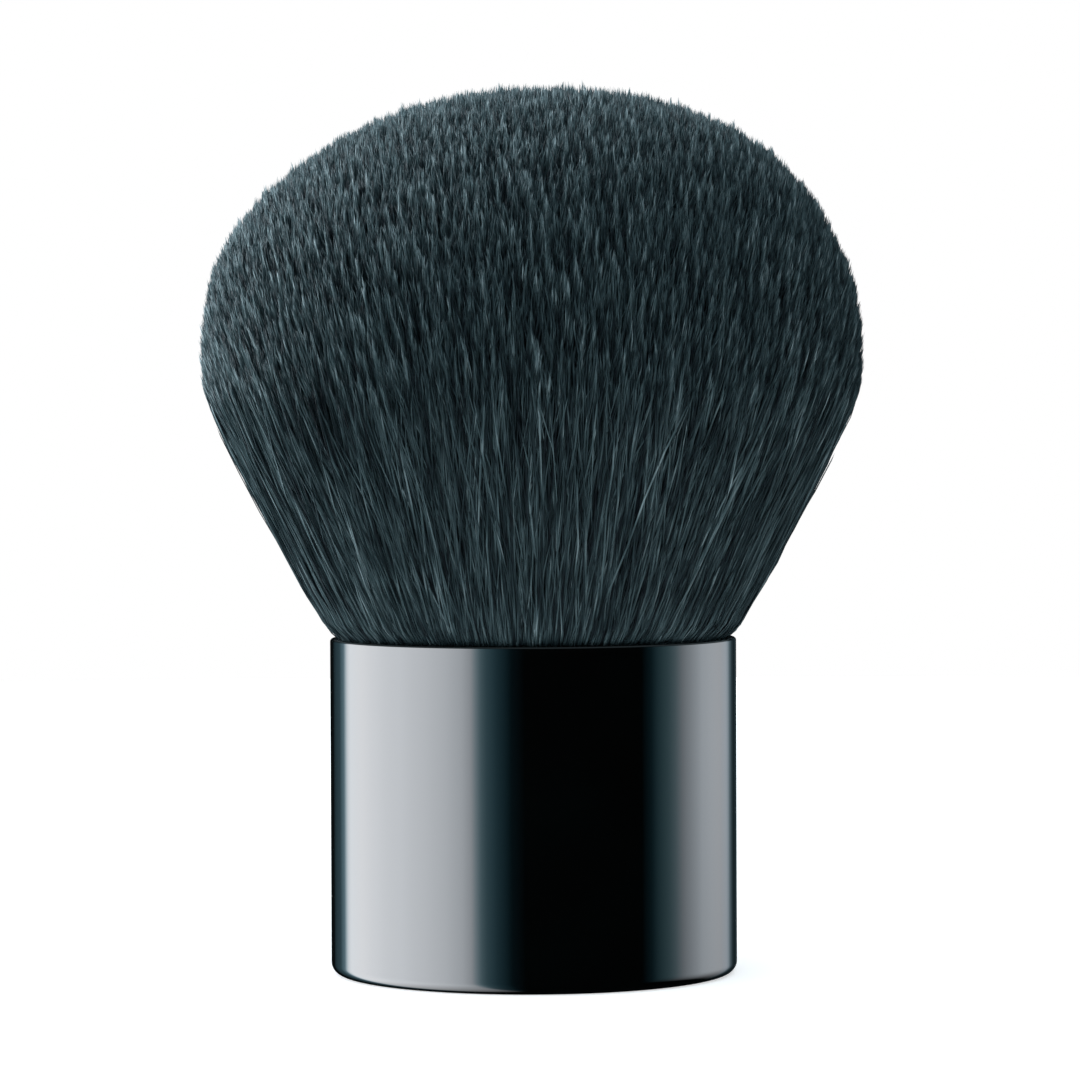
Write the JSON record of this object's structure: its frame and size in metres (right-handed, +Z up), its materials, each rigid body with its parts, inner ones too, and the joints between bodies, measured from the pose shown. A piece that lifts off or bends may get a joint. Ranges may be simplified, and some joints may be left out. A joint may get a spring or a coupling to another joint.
{
  "type": "kabuki brush",
  "caption": "Short kabuki brush: a wide dome of dense black hair glued into a gloss black drawn-metal barrel that stands on its flat foot ring.",
  "frame": {"origin": "centre of the flat foot ring that the brush stands on", "axes": "+Z up along the barrel's axis, from the foot to the hair; +X to the right and +Y away from the camera in the picture"},
  "size_m": [0.052, 0.052, 0.0698],
  "materials": {
    "barrel_lacquer": "gloss black lacquer over drawn aluminium",
    "hair": "dense synthetic hair, black with a cool sheen",
    "ferrule_aluminium": "bare rolled strip",
    "thread": "twisted nylon",
    "resin": "cured amber epoxy",
    "insert_plastic": "moulded grey plastic",
    "ballast_steel": "zinc-plated turned steel",
    "foam": "die-cut double-sided foam tape"
  },
  "bodies": {
    "root": {"outer_barrel": "barrel_lacquer", "hair_bundle": "hair", "knot_ferrule": "ferrule_aluminium", "binding_thread": "thread", "resin_plug": "resin", "core_insert": "insert_plastic", "ballast_weight": "ballast_steel", "base_pad": "foam"}
  },
  "joints": []
}
